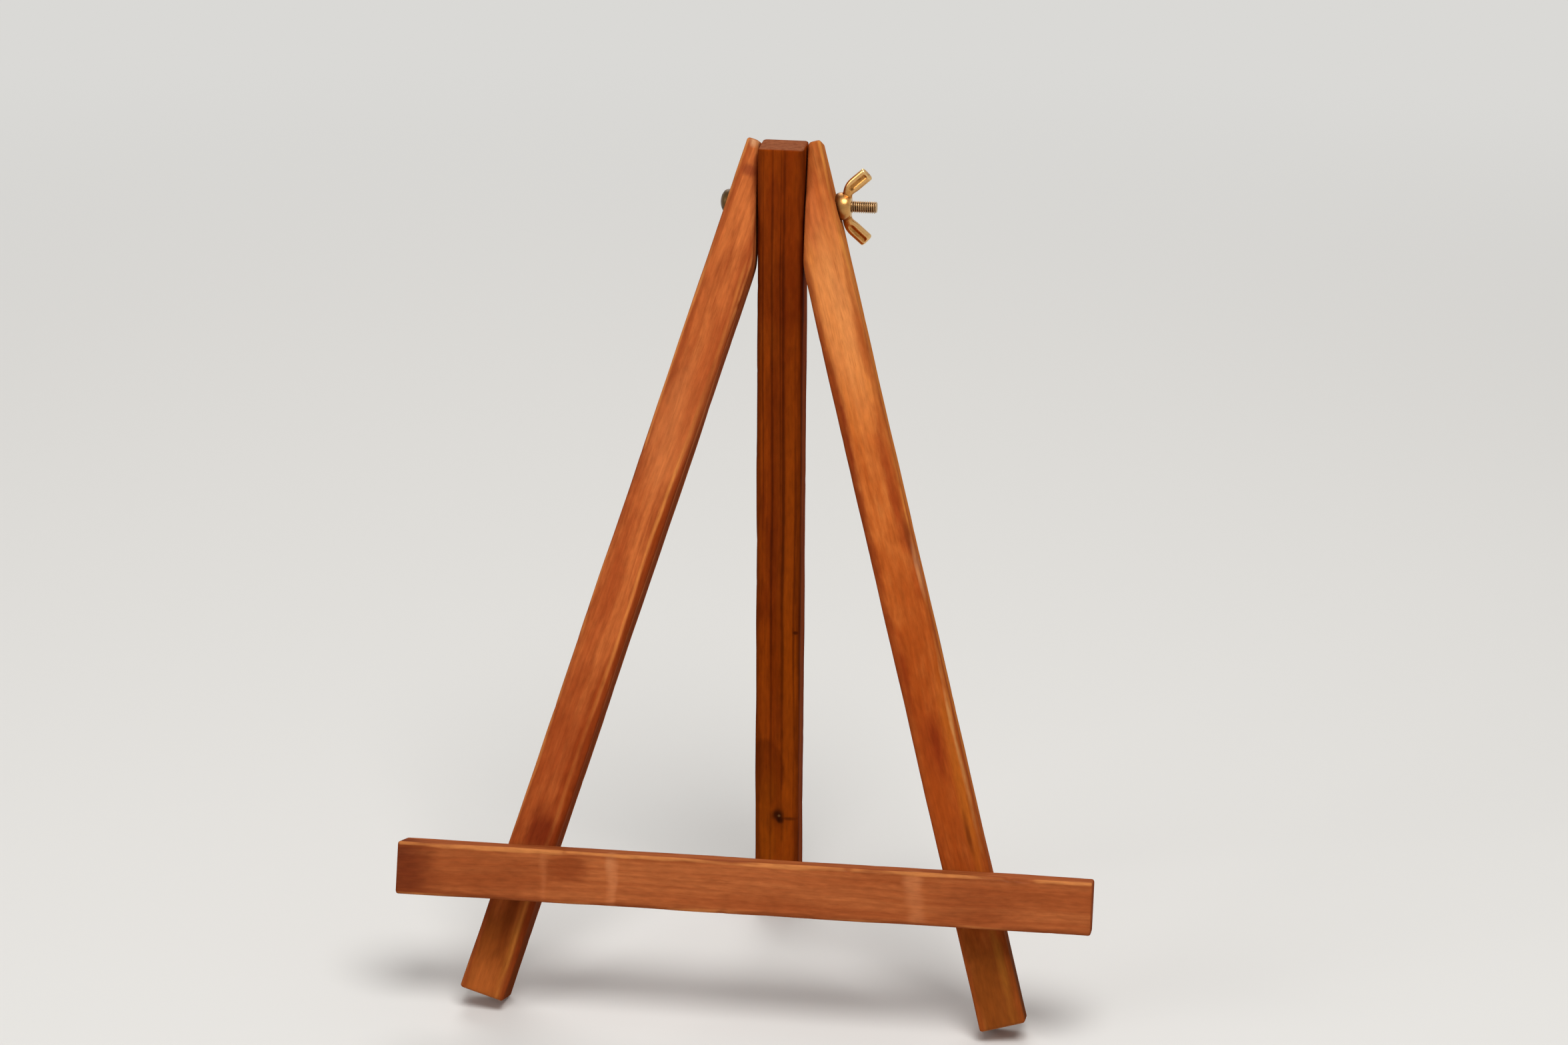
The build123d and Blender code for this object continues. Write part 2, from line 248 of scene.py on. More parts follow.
def stained_pine(
    name, origin, axes, length, colours, pith, seed, patches, rings=0.2, wander=1.0, slant=0.0
):
    """Pine, planed and sanded, wiped with an oil stain and varnished twice.

    The eye gets soft lengthwise streaks where the stain sank into early wood, thin darker late-wood
    lines, cloudy patches where it was wiped twice, painted shade beside the arrises, and paler wood
    along the arrises that is partly worn and partly a painted highlight. Among the patches are painted
    shade, painted light and painted highlights. Patterns lie in the strip's own axes, in millimetres.
    The pith is where the growth rings have their middle, rings is how strongly they show, wander is how
    far the grain strays, and the seed shifts all patterns. The slant is the rise of the first end across
    the depth.
    """
    material = bpy.data.materials.new(name)
    material.use_nodes = True
    tree = material.node_tree
    shader = tree.nodes["Principled BSDF"]
    place = add(tree, "TexCoord").outputs["Object"]
    turn = Matrix(axes.tolist()).transposed().to_euler()
    own = add(tree, "Mapping", place, origin * MM, turn, (MM, MM, MM), vector_type="TEXTURE")
    tones = {key: linear(value) for key, value in colours.items()}

    # The grain wanders by about a millimetre over 70 mm, or by a share of that
    scale, shift = (1 / 25, 1 / 25, 1 / 70), (seed, 5, 0)
    stretched = add(tree, "VectorMath", own, scale, shift, operation="MULTIPLY_ADD")
    strayed = add(tree, "TexNoise", stretched, 1.0, 2.0).outputs["Color"]
    own = add(tree, "VectorMath", strayed, (5 * wander, 5 * wander, 0), own, operation="MULTIPLY_ADD")
    own = add(tree, "VectorMath", own, (2.5 * wander, 2.5 * wander, 0), operation="SUBTRACT")

    # Streaks 4 mm wide and 170 mm long
    scale, shift = (1 / 4, 1 / 4, 1 / 170), (seed, 0, 0)
    stretched = add(tree, "VectorMath", own, scale, shift, operation="MULTIPLY_ADD")
    streaks = add(tree, "TexNoise", stretched, 1.0, 3.0, 0.55)
    streaks = add(tree, "MapRange", streaks, 0.34, 0.66, 0.0, 1.0, interpolation_type="SMOOTHSTEP")
    colour = add(tree, "Mix", streaks, tones["middle"], tones["light"], data_type="RGBA")

    # Growth rings round the pith, 2.4 mm apart, that waver by up to 3 mm along the strip
    scale, shift = (1 / 22, 1 / 22, 1 / 130), (0, seed, 0)
    stretched = add(tree, "VectorMath", own, scale, shift, operation="MULTIPLY_ADD")
    waver = add(tree, "Math", add(tree, "TexNoise", stretched, 1.0, 3.0), 6.0, operation="MULTIPLY")
    apart = add(tree, "VectorMath", own, (1, 1, 0), (-pith[0], -pith[1], 0), operation="MULTIPLY_ADD")
    radius = add(tree, "VectorMath", apart, operation="LENGTH")
    radius = add(tree, "Math", radius, waver, operation="ADD")
    phase = add(tree, "Math", add(tree, "Math", radius, 2.4, operation="DIVIDE"), operation="FRACT")
    rise = add(tree, "MapRange", phase, 0.4, 0.92, 0.0, 1.0, interpolation_type="SMOOTHSTEP")
    fall = add(tree, "MapRange", phase, 0.92, 1.0, 1.0, 0.0, interpolation_type="SMOOTHSTEP")
    late_wood = add(tree, "Math", rise, fall, operation="MULTIPLY")
    share = add(tree, "Math", late_wood, rings, operation="MULTIPLY")
    colour = add(tree, "Mix", share, colour, tones["dark"], data_type="RGBA")

    # Stain clouds 8 mm wide and 30 mm long
    scale, shift = (1 / 8, 1 / 8, 1 / 30), (seed, 7, 0)
    stretched = add(tree, "VectorMath", own, scale, shift, operation="MULTIPLY_ADD")
    clouds = add(tree, "TexNoise", stretched, 1.0, 5.0, 0.6)
    clouds = add(tree, "MapRange", clouds, 0.44, 0.7, 0.0, 0.7, interpolation_type="SMOOTHSTEP")
    colour = add(tree, "Mix", clouds, colour, tones["deep"], data_type="RGBA")

    # Single places where the stain went darker or paler, and among them painted shade, painted light and
    # painted highlights, with edges made ragged in bits of 3 by 9 mm
    scale, shift = (1 / 3, 1 / 3, 1 / 9), (seed, 0, 5)
    stretched = add(tree, "VectorMath", own, scale, shift, operation="MULTIPLY_ADD")
    ragged = add(tree, "Math", add(tree, "TexNoise", stretched, 1.0, 4.0), 0.5, operation="SUBTRACT")
    for middle, half_sizes, tone, strength, soft in patches:
        spread = add(tree, "VectorMath", own, middle, operation="SUBTRACT")
        spread = add(tree, "VectorMath", spread, half_sizes, operation="DIVIDE")
        gone = add(tree, "VectorMath", spread, operation="LENGTH")
        gone = add(tree, "Math", ragged, 2 * soft, gone, operation="MULTIPLY_ADD")
        fade = (1 - soft, 1 + soft, strength, 0.0)
        share = add(tree, "MapRange", gone, *fade, interpolation_type="SMOOTHSTEP")
        colour = add(tree, "Mix", share, colour, linear(tone), data_type="RGBA")

    # Painted shade beside the arrises, and arrises worn to paler wood with a painted highlight, in long
    # broken lines
    scale, shift = (1 / 3, 1 / 3, 1 / 25), (seed, 0, 13)
    stretched = add(tree, "VectorMath", own, scale, shift, operation="MULTIPLY_ADD")
    breaks = add(tree, "MapRange", add(tree, "TexNoise", stretched, 1.0, 4.0), 0.3, 0.7, -0.2, 0.2)
    near = add(tree, "Attribute", attribute_name="arris").outputs["Fac"]
    # Painted shade beside the arrises
    painted_arris_shade = add(tree, "Math", near, breaks, operation="SUBTRACT")
    painted_arris_shade = add(tree, "MapRange", painted_arris_shade, 0.2, 0.6, 0.0, 0.5, interpolation_type="SMOOTHSTEP")
    colour = add(tree, "Mix", painted_arris_shade, colour, tones["dark"], data_type="RGBA")
    rubbed_and_highlight = add(tree, "Attribute", attribute_name="rubbed_and_highlight").outputs["Fac"]
    rubbed_and_highlight = add(tree, "Math", rubbed_and_highlight, breaks, operation="ADD")
    rubbed_and_highlight = add(tree, "MapRange", rubbed_and_highlight, 0.54, 0.9, 0.0, 0.8, interpolation_type="SMOOTHSTEP")
    colour = add(tree, "Mix", rubbed_and_highlight, colour, tones["worn"], data_type="RGBA")

    # Fibres, drawn 0.4 mm wide so that they show, and flecks of 1 by 4 mm
    scale, shift = (1 / 0.4, 1 / 0.4, 1 / 14), (seed, 3, 0)
    stretched = add(tree, "VectorMath", own, scale, shift, operation="MULTIPLY_ADD")
    fibres = add(tree, "TexNoise", stretched, 1.0, 4.0)
    scale, shift = (1, 1, 1 / 4), (seed, 11, 0)
    stretched = add(tree, "VectorMath", own, scale, shift, operation="MULTIPLY_ADD")
    flecks = add(tree, "TexNoise", stretched, 1.0, 3.0)
    shade = add(tree, "Math", fibres, 0.6, flecks, operation="MULTIPLY_ADD")
    shade = add(tree, "MapRange", shade, 0.55, 1.05, 0.85, 1.12)
    colour = add(tree, "Mix", 1.0, colour, shade, data_type="RGBA", blend_type="MULTIPLY")

    # Resin ducts, thin dark dashes of 0.3 by 6 mm, here and there
    scale, shift = (3, 3, 1 / 6), (seed, 17, 0)
    stretched = add(tree, "VectorMath", own, scale, shift, operation="MULTIPLY_ADD")
    ducts = add(tree, "MapRange", add(tree, "TexNoise", stretched, 1.0, 1.0), 0.66, 0.78, 0.0, 0.35)
    colour = add(tree, "Mix", ducts, colour, tones["dark"], data_type="RGBA")

    # End grain that drank the stain, with clouds 2.5 mm wide
    along = add(tree, "VectorMath", own, (0, slant, 1), operation="DOT_PRODUCT")
    top_end = add(tree, "MapRange", along, 0.15, 0.5, 0.85, 0.0)
    low_end = add(tree, "MapRange", along, length - 0.5, length - 0.15, 0.0, 0.85)
    at_end = add(tree, "Math", top_end, low_end, operation="MAXIMUM")
    face = add(tree, "VectorMath", own, (1 / 2.5, 1 / 2.5, 0), operation="MULTIPLY")
    pores = add(tree, "TexNoise", face, 1.0, 6.0, 0.7)
    pores = add(tree, "MapRange", pores, 0.35, 0.65, 0.0, 0.5)
    pores = add(tree, "Math", late_wood, 0.15, pores, operation="MULTIPLY_ADD")
    end_grain = add(tree, "Mix", pores, tones["end"], tones["dark"], data_type="RGBA")
    colour = add(tree, "Mix", at_end, colour, end_grain.outputs[2], data_type="RGBA")
    tree.links.new(colour.outputs[2], shader.inputs["Base Color"])

    # Satin varnish that follows the fibres a little, and dull ends
    gloss = add(tree, "MapRange", clouds, 0.0, 0.7, 0.42, 0.52)
    dull = add(tree, "Math", at_end, 0.3, gloss, operation="MULTIPLY_ADD")
    tree.links.new(dull.outputs[0], shader.inputs["Roughness"])
    relief = add(tree, "Math", late_wood, 0.4, fibres, operation="MULTIPLY_ADD")
    bump = add(tree, "Bump", Height=relief, Strength=0.3, Distance=0.06 * MM)
    tree.links.new(bump.outputs[0], shader.inputs["Normal"])
    shader.inputs["Specular IOR Level"].default_value = 0.0
    shader.inputs["Coat Weight"].default_value = 0.035
    shader.inputs["Coat Roughness"].default_value = 0.28
    return material


def screw_back(side):
    """The place where a ledge screw enters its front leg, on the leg's back."""
    return pivot + side * screw_x * across - ledge_drop * frame_up - strip / 2 * frame_front


def leg_sides(along):
    """Sides of a front leg, whose width runs out from the middle and whose flat cuts its inner side.

    The flat's line meets the leg's own inner side in a soft bend: the mean of both, plus half the root
    of their difference squared and a softness squared.
    """
    softness = 0.6
    flat = (flat_x - leg_axis_x + (bolt_from_top - along) * math.sin(splay)) / math.cos(splay)
    inner = (flat - strip / 2) / 2 + np.sqrt((flat + strip / 2) ** 2 + softness**2) / 2
    return inner, strip / 2, -strip / 2, strip / 2


# A patch is given by its middle and half sizes across the width, across the depth and along the strip,
# its tone, its strength, and how soft its edge is
# The worn tone is paler worn wood and a painted highlight on the arrises
left_stain = {"light": "#C66C36", "middle": "#A95227", "dark": "#7E3417", "deep": "#8C3C1A",
              "worn": "#C87C40", "end": "#A8683C"}
left_patches = [
    # Darker towards the foot: partly stain, and partly painted shade of the light falling off downwards
    # and of the ledge's shadow on the foot
    ((0, 0, 225), (18, 18, 60), "#94421A", 0.7, 0.8),
    ((0, 0, 280), (18, 18, 28), "#783B12", 0.85, 0.5),
    # Painted shade on the inner side, with a painted highlight on its rounded back edge
    ((-8, 1.5, 150), (1.6, 6, 140), "#7C3404", 0.85, 0.4),
    ((-8, 6.2, 150), (1.6, 1.5, 140), "#B46414", 0.6, 0.6),
    # Painted shade on the inner front arris, and beside it on the front face a pale line, partly worn
    # wood and partly a painted highlight
    ((-7.5, -7.0, 165), (1.5, 1.4, 115), "#802E04", 0.85, 0.4),
    ((-5.2, -7.5, 165), (0.5, 2, 115), "#CC7E3C", 0.6, 0.9),
    ((-5.6, -7.5, 92), (0.5, 2, 36), "#CC7E3C", 0.6, 0.5),
    ((3.2, -7.5, 10), (3, 5, 1.8), "#873A20", 0.7, 0.5),
    ((0.5, -7.5, 94), (6, 6, 20), "#C87440", 0.5, 0.8),
    ((1.5, -7.5, 206), (5, 6, 15), "#8E3A18", 0.5, 0.8),
    ((-3.2, -7.5, 76), (3, 6, 24), "#9A431D", 0.6, 0.6),
    ((3.1, -7.5, 147), (3, 6, 20), "#9A431D", 0.55, 0.6),
    ((-4.5, -7.5, 205), (1.6, 5, 26), "#84300F", 0.7, 0.7),
    ((-1.5, -7.5, 233), (5, 5, 7), "#6E2410", 0.75, 0.7),
    ((-1.2, -7.5, 262), (1.6, 4, 12), "#662A0C", 0.6, 0.5),
    ((-4.8, -7.5, 270), (1.1, 4, 17), "#9E5E22", 0.45, 0.8),
    ((0.5, -7.5, 285), (6, 5, 7), "#B4602A", 0.5, 0.7),
    # Painted shade on the inner side of the foot
    ((-8, 0, 272), (1.8, 8, 32), "#642804", 0.7, 0.4),
    ((5.0, -6.8, 0.6), (2.2, 2.5, 1.4), "#E0B080", 0.6, 0.7),
]
# The worn tone is paler worn wood and a painted highlight on the arrises
right_stain = {"light": "#D4803F", "middle": "#C0692D", "dark": "#8C4018", "deep": "#96421B",
               "worn": "#CC823C", "end": "#A8683C"}
right_patches = [
    # Darker towards the foot: partly stain, and partly painted shade of the light falling off downwards
    # and of the ledge's shadow on the foot
    ((0, 0, 150), (20, 20, 60), "#B6561F", 0.7, 0.8),
    ((0, 0, 220), (22, 22, 78), "#953F12", 0.9, 0.7),
    ((0, 0, 282), (18, 18, 28), "#763C12", 0.85, 0.5),
    ((0.5, 7.5, 50), (6, 6, 26), "#DE9052", 0.55, 0.8),
    # Painted light: the outer side, which faces up towards the lamps, kept lighter
    ((8.5, -2, 110), (2.2, 6.5, 130), "#C6742A", 0.75, 0.4),
    ((-1, 7.5, 16), (6, 6, 16), "#AC5028", 0.7, 0.7),
    # Painted shade on the inner front arris
    ((-7.2, 7.5, 100), (2.0, 5, 55), "#6E220C", 0.9, 0.6),
    ((5.0, 7.5, 66), (1.5, 4, 10), "#A04A1C", 0.6, 0.6),
    ((4.4, 7.5, 118), (1.5, 4, 26), "#8C3614", 0.8, 0.7),
    ((5.6, 7.5, 131), (1.2, 3, 7), "#5E2412", 0.7, 0.6),
    ((6.2, 7.5, 140), (0.8, 3, 8), "#C8946C", 0.6, 0.6),
    ((-6.8, 7.5, 172), (2.4, 5, 16), "#7A2A0E", 0.7, 0.7),
    ((4.6, 7.5, 213), (1.8, 4, 30), "#B4641E", 0.5, 0.8),
    ((-1.2, 7.5, 196), (4, 6, 12), "#8C3814", 0.6, 0.6),
    ((-0.4, 7.5, 197), (1.4, 4, 7), "#7A280E", 0.7, 0.7),
    ((3.4, 7.5, 227), (0.7, 3, 6), "#5A2208", 0.65, 0.6),
    # A pale line on the outer front arris, partly worn wood and partly a painted highlight
    ((6.2, 7.5, 202), (0.5, 3, 24), "#D29A5C", 0.6, 0.9),
    ((3.4, 7.5, 268), (1.0, 4, 17), "#A06222", 0.45, 0.8),
    # The foot's outer side darker: partly stain and partly painted shade
    ((8.5, 0, 272), (2, 8, 32), "#4E2208", 0.75, 0.4),
    # A painted highlight along the top end's inner front corner
    ((-2.5, 7.2, 0.6), (3, 2, 1.4), "#D8A070", 0.5, 0.7),
]
# How much each arris is worn paler and painted with a highlight, at each end and by side
left_wear_and_highlight = [((0.9, 0.7), (1.2, 0.7)), ((0.4, 0.7), (0.95, 0.7))]
right_wear_and_highlight = [((0.7, 0.6), (0.7, 1.2)), ((0.7, 0.6), (0.7, 0.5))]
for side, node, stain, patches, wear_and_highlight, pith, seed in (
    (-1, "front_leg_left", left_stain, left_patches, left_wear_and_highlight, (26, -7), 3.0),
    (1, "front_leg_right", right_stain, right_patches, right_wear_and_highlight, (-22, 12), 8.0),
):
    down = side * math.sin(splay) * across - math.cos(splay) * frame_up
    out = side * math.cos(splay) * across + math.sin(splay) * frame_up
    axes = np.array([out, np.cross(down, out), down])
    origin = pivot + side * leg_axis_x * across - bolt_from_top * down
    leg = ring_solid(origin + strip_rings(leg_length, leg_sides, int(seed)) @ axes, name=node + "_wood")
    bed_depths = [0, seat_x, seat_x, bed_reach]
    bed_radii = [bolt_hole, bolt_hole, bed_radius[side], bed_radius[side]]
    cut(leg, turned_rings(pivot, side * across, bed_depths, bed_radii))
    sink_depths = [-cutter_past, countersink - screw_hole, 2 * strip]
    sink_radii = [countersink + cutter_past, screw_hole, screw_hole]
    cut(leg, turned_rings(screw_back(side), frame_front, sink_depths, sink_radii))
    wood = stained_pine(node + "_stained_pine", origin, axes, leg_length, stain, pith, seed, patches)
    finish_strip(leg, origin, axes, leg_length, leg_sides, wear_and_highlight, wood)
    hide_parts(node)
    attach(leg, "front_frame")

# Rear leg
# One strip of the same square softwood, planed, stained darker and varnished. It hangs on the bolt
# between the two flats, and its top end is cut level.

rear_lean = math.radians(5.0)
rear_top = 19.8 / math.cos(rear_lean)  # along the leg, from the bolt to the top end
hole_reach = 20.0  # how far the bolt hole is cut to each side, past the leg
rear_length = rear_top + (pivot[2] - strip / 2 * math.sin(rear_lean)) / math.cos(rear_lean)
down = np.array([0.0, math.sin(rear_lean), -math.cos(rear_lean)])
axes = np.array([across, np.cross(down, across), down])
origin = pivot - rear_top * down


def square_sides(along):
    """Sides of a plain square strip."""
    return -strip / 2, strip / 2, -strip / 2, strip / 2


# The worn tone is paler worn wood and a painted highlight on the arrises
rear_stain = {"light": "#96420A", "middle": "#843405", "dark": "#4A1603", "deep": "#702805",
              "worn": "#8A4414", "end": "#985C3C"}
rear_patches = [
    ((0, 7.5, 22), (14, 12, 38), "#702604", 0.45, 0.08),
    ((5, 7.5, 60), (3, 6, 30), "#6A2203", 0.5, 0.6),
    ((4.3, 7.5, 165), (3.4, 6, 90), "#A24A08", 0.6, 0.6),
    ((-4, 7.5, 220), (6.4, 12, 12.5), "#662503", 0.6, 0.1),
    ((-4, 7.5, 240), (5, 6, 20), "#8F4306", 0.65, 0.8),
    ((0.3, 7.5, 110), (1.9, 4, 120), "#6C2804", 0.35, 0.5),
    ((-2.2, 7.5, 110), (0.4, 3, 130), "#3C1002", 0.6, 0.7),
    ((1.5, 7.5, 105), (0.5, 3, 128), "#3C1002", 0.65, 0.7),
    ((0.5, 7.5, 60), (0.25, 3, 60), "#3C1002", 0.6, 0.7),
    ((-5.2, 7.5, 70), (0.3, 3, 60), "#4A1603", 0.6, 0.7),
    ((5.4, 7.5, 150), (0.35, 3, 70), "#4A1603", 0.6, 0.7),
    ((7.6, 7.5, 130), (0.7, 3, 140), "#3C1002", 0.6, 0.6),
    ((0.6, 7.5, 236), (3.4, 4, 5.5), "#6A2A05", 0.6, 0.8),
    ((0.2, 7.5, 235.6), (2.0, 3, 2.0), "#2A0C02", 0.85, 0.7),
    ((1.2, 7.5, 237.6), (1.0, 3, 1.1), "#260A02", 0.8, 0.6),
    # A painted highlight: a glint in the knot
    ((0.8, 7.5, 235.9), (0.4, 2, 0.4), "#7A5836", 0.6, 0.6),
    ((4.0, 7.5, 236.8), (3.2, 3, 0.55), "#3A1404", 0.6, 0.8),
    ((6.2, 7.5, 167.5), (0.8, 2, 0.6), "#3A1404", 0.8, 0.5),
]
rear_slant = math.tan(rear_lean)
rear_rings = strip_rings(rear_length, square_sides, 21, slant=rear_slant)
rear_leg = ring_solid(origin + rear_rings @ axes, name="rear_leg_wood")
cut(rear_leg, turned_rings(pivot, across, [-hole_reach, hole_reach], [bolt_hole] * 2))
wood = stained_pine("rear_leg_stained_pine", origin, axes, rear_length, rear_stain, (1, -40), 21.0,
                    rear_patches, wander=0.35, slant=rear_slant)
# How much each arris is worn paler and painted with a highlight, at each end and by side
rear_wear_and_highlight = [((0.5, 0.4), (0.5, 0.4))] * 2
finish_strip(rear_leg, origin, axes, rear_length, square_sides, rear_wear_and_highlight, wood)
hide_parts("rear_leg")
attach(rear_leg, "rear_leg")

# Pivot bolt
# A brass machine screw with a slotted round head, M4 by 0.7, through all three legs. Its thread shows
# past the nut.

head_height = 3.1
head_radius = 4.0
head_lip = 0.6
head_easing = 0.15
shank = 1.97  # radius
bolt_tip = 30.45
thread_start = 20.0
thread_step = 0.05  # between the rings of the thread
thread_pitch = 0.7
crest, root = 2.0, 1.62
tip_length, tip_slope, tip_radius = 0.6, 0.9, 1.2
slot_half, slot_reach, slot_depth = 0.5, 5.0, 1.3
bolt_columns = 64

# The head is a quarter ellipse, turned
rise = np.linspace(0.004, 1, 22)
dome_depth = -seat_x - head_lip - (head_height - head_lip) * np.sqrt(1 - rise**2)
under_head = [-seat_x - head_easing, -seat_x, -seat_x, thread_start - 0.1]
plain = np.concatenate([head_radius * rise, [head_radius, head_radius - head_easing, shank, shank]])

# The thread's radius is a wave of flats and straight flanks, which advances by a pitch in each turn
threaded = np.arange(thread_start, bolt_tip - 0.02, thread_step)
angle = np.linspace(0, 2 * math.pi, bolt_columns, endpoint=False)
turns = threaded[:, None] / thread_pitch - angle / (2 * math.pi)
flank = np.clip(np.abs(2 * (turns % 1) - 1) * 1.4 - 0.2, 0, 1)
tip_cone = crest - np.clip(threaded - bolt_tip + tip_length, 0, None)[:, None] * tip_slope
thread_radius = np.minimum(root + (crest - root) * flank, tip_cone)

depths = np.concatenate([dome_depth, under_head, threaded, [bolt_tip]])
plain_radius = np.repeat(plain[:, None], bolt_columns, axis=1)
radii = np.concatenate([plain_radius, thread_radius, [[tip_radius] * bolt_columns]])
bolt = ring_solid(turned_rings(pivot, across, depths, radii, bolt_columns), name="pivot_bolt_brass")
slot_corners = [[0, -1, -1], [0, 1, -1], [0, 1, 1], [0, -1, 1]] * np.array([0, slot_half, slot_reach])
slot_ends = np.array([-1, slot_depth]) - seat_x - head_height
cut(bolt, pivot + slot_corners[None] + slot_ends[:, None, None] * across)


def mark_hollows(piece, rounds, depth, ridges_from=-1e6):
    """Marks the hollows of a metal piece, where grime and tarnish stay, and its ridges, which are worn
    pale and carry a painted highlight.

    All points are moved to the mean of their neighbours, round after round. A point that then lies
    under its smoothed place by the depth, in millimetres, or more is marked 1, and one that lies as
    much over it is marked -1, with shares between. Ridges count only past a place along the bolt.
    """
    mesh = piece.data
    count = len(mesh.vertices)
    points, normals = np.zeros(count * 3), np.zeros(count * 3)
    edges = np.zeros(len(mesh.edges) * 2, np.int32)
    mesh.vertices.foreach_get("co", points)
    mesh.vertex_normals.foreach_get("vector", normals)
    mesh.edges.foreach_get("vertices", edges)
    points, normals, edges = points.reshape(-1, 3) / MM, normals.reshape(-1, 3), edges.reshape(-1, 2)
    ends, others = np.concatenate([edges, edges[:, ::-1]]).T
    shared = np.bincount(ends, minlength=count)[:, None]
    smooth = points
    for _ in range(rounds):
        summed = [np.bincount(ends, smooth[others, axis], count) for axis in range(3)]
        smooth = np.stack(summed, axis=1) / shared
    sunk = ((smooth - points) * normals).sum(axis=1)
    sunk = np.where(points[:, 0] > ridges_from, sunk, np.maximum(sunk, 0))
    hollow = mesh.attributes.new("hollow", "FLOAT", "POINT")
    hollow.data.foreach_set("value", np.clip(sunk / depth, -1, 1).astype(np.float32))


def aged_brass(name, rubbed_and_highlight, clean, tarnished, roughness, share, soil, grit=0.25, relief=0.12):
    """Brass that was cast or rolled, handled and left to tarnish: pale on its ridges, partly worn and
    partly a painted highlight, browner in its hollows, with painted shade and dark reflections where it
    meets the wood, and with small spots and fine marks that break up the shine.

    Share is how much of it is tarnished, and soil is how brown its hollows are. Grit is the width of the
    marks in millimetres, which are a fifth as deep, and relief is how strongly they show.
    """
    material = bpy.data.materials.new(name)
    material.use_nodes = True
    tree = material.node_tree
    shader = tree.nodes["Principled BSDF"]
    place = add(tree, "TexCoord").outputs["Object"]
    clouds = add(tree, "TexNoise", place, 1 / (2.0 * MM), 5.0, 0.65)  # clouds 2 mm wide
    spots = (0.6 - share, 1.0 - share, 0.0, 1.0)
    stain = add(tree, "MapRange", clouds, *spots, interpolation_type="SMOOTHSTEP")
    hollow = add(tree, "Attribute", attribute_name="hollow").outputs["Fac"]
    # Pale ridges: partly worn metal, partly a painted highlight
    ridge_and_highlight = add(tree, "MapRange", hollow, -0.7, -0.1, 0.9, 0.0)
    sunk = add(tree, "Math", hollow, soil, operation="MULTIPLY")
    stain = add(tree, "Math", stain, sunk, operation="MAXIMUM")
    stain = add(tree, "Math", stain, ridge_and_highlight, operation="SUBTRACT", use_clamp=True)
    # Painted shade and dark reflections where the metal meets the wood, gone 4.5 mm out from it
    beside = add(tree, "Math", add(tree, "SeparateXYZ", place).outputs["X"], operation="ABSOLUTE")
    painted_shade_near_wood = add(tree, "MapRange", beside, seat_x * MM, (seat_x + 4.5) * MM, 0.9, 0.0)
    stain = add(tree, "Math", stain, painted_shade_near_wood, operation="MAXIMUM")
    colour = add(tree, "Mix", ridge_and_highlight, linear(clean), linear(rubbed_and_highlight), data_type="RGBA")
    colour = add(tree, "Mix", stain, colour, linear(tarnished), data_type="RGBA")
    tree.links.new(colour.outputs[2], shader.inputs["Base Color"])
    dull = add(tree, "MapRange", stain, 0.0, 1.0, roughness, roughness + 0.2)
    tree.links.new(dull.outputs[0], shader.inputs["Roughness"])
    marks = add(tree, "TexNoise", place, 1 / (grit * MM), 3.0)
    bump = add(tree, "Bump", Height=marks, Strength=relief, Distance=0.2 * grit * MM)
    tree.links.new(bump.outputs[0], shader.inputs["Normal"])
    shader.inputs["Metallic"].default_value = 1.0
    return material


bolt.data.shade_smooth()
bolt.data.set_sharp_from_angle(angle=math.radians(40))
mark_hollows(bolt, rounds=30, depth=0.12, ridges_from=seat_x)
# The first colour is that of the pale ridges: worn metal with a painted highlight
rolled_brass = aged_brass(
    "bolt_aged_brass", "#CEAE86", "#86663E", "#2C2014", roughness=0.3, share=0.28, soil=0.8
)
bolt.data.materials.append(rolled_brass)
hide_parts("pivot_bolt")
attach(bolt, "front_frame")

# Wing nut
# A cast brass wing nut, screwed up by hand to clamp the three legs. It has a ball-shaped hub, and on
# each side a short neck that carries a leaning wing with a sunk panel between two raised rims.

nut_seat = pivot + seat_x * across
nut_turn = math.radians(8.0)
hub_radius = 4.5
hub_middle = 2.3
hub_height = 5.2
hub_face = 2.4  # radius of a last ring on the hub's flat top
bore = 2.1  # radius
bore_ends = [-1.0, 8.0]  # past both ends of the hub
voxel = 0.1  # of the remesh that makes the hub and the wings one
wing_curve = [(2.6, 3.7), (6.0, 3.75), (6.3, 4.6), (11.6, 10.3)]  # out from the bolt, and along it
neck_half, tip_half = 1.55, 2.3  # half widths
widen_from, widen_over = 0.15, 0.55  # shares of the wing's curve
wing_thick = 1.3  # half
section_power = 0.7  # below 1 the section is squarer than an ellipse
tip_easing = 0.7
panel_from, panel_over = 0.42, 0.2  # shares of the wing's curve
panel_rim, panel_fade = 0.5, 0.8  # before the tip
panel_half, panel_share = 0.7, 0.36  # half width, and how much of the thickness is sunk


